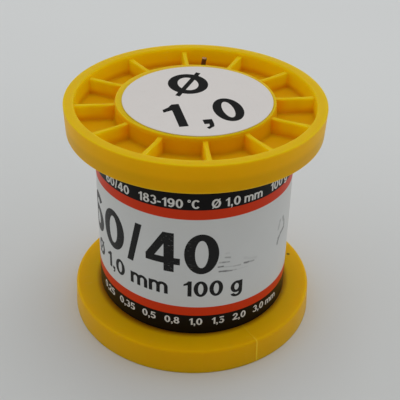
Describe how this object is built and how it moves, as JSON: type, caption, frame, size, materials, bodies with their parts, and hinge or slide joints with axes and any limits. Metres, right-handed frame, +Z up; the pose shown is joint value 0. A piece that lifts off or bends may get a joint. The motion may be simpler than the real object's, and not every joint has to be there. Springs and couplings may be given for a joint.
{
  "type": "solder wire spool",
  "caption": "Small plastic reel with ribbed flanges, wound with cored solder wire under a printed wrap label, with a round size sticker on its hub.",
  "frame": {"origin": "centre of the lower rim's underside, on the spool's axis", "axes": "+Z up along the spool's axis; +X along one rib of each flange; the wire's end stands 80 degrees round from +X"},
  "size_m": [0.05, 0.05, 0.0474],
  "materials": {
    "yellow_plastic": "moulded, satin",
    "solder": "drawn tin-lead wire, dull bright",
    "rosin": "clear amber, brittle",
    "label_paper": "coated print, semi-gloss",
    "sticker_paper": "uncoated, matt"
  },
  "bodies": {
    "root": {"spool_body": "yellow_plastic", "wire_inner_layers": "solder", "wire_outer_layer": "solder", "rosin_core": "rosin", "label_wrap": "label_paper", "size_sticker": "sticker_paper"}
  },
  "joints": []
}
